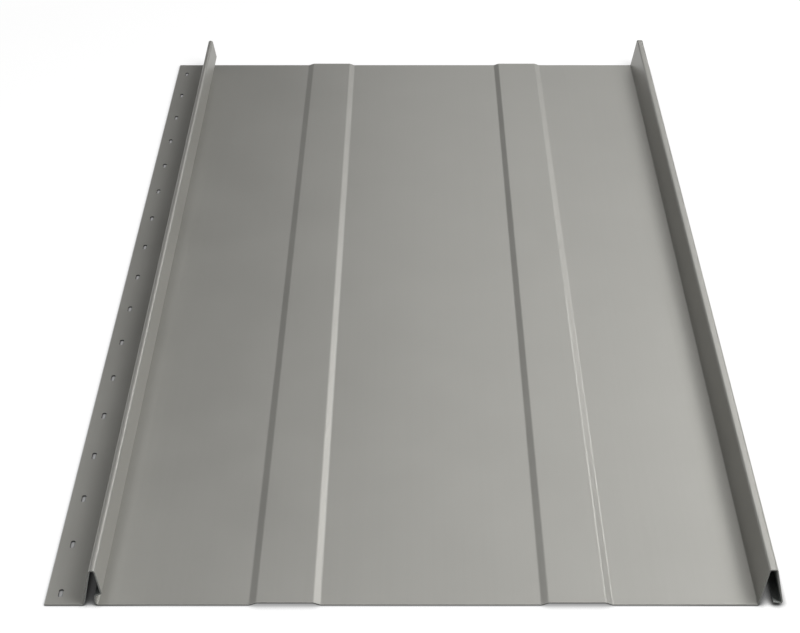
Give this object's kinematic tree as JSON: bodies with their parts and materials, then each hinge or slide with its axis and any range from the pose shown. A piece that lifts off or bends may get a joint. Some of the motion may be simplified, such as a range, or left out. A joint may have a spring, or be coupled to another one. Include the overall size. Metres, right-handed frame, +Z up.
{
  "type": "standing seam roof panel",
  "caption": "Click-lock standing seam roof panel of coated sheet metal: a flat pan with two low beads, a slotted nail flange with a hooked rib, and a cover rib that snaps over the next panel.",
  "frame": {"origin": "middle of the panel's box, on the floor that the pan lies on", "axes": "+X across the panel from the nail flange to the cover rib, +Y along its length, +Z up"},
  "size_m": [0.5184, 1, 0.0308],
  "materials": {
    "coated_steel": "semi-gloss grey coil coating"
  },
  "bodies": {
    "root": {"roof_panel": "coated_steel"}
  },
  "joints": []
}
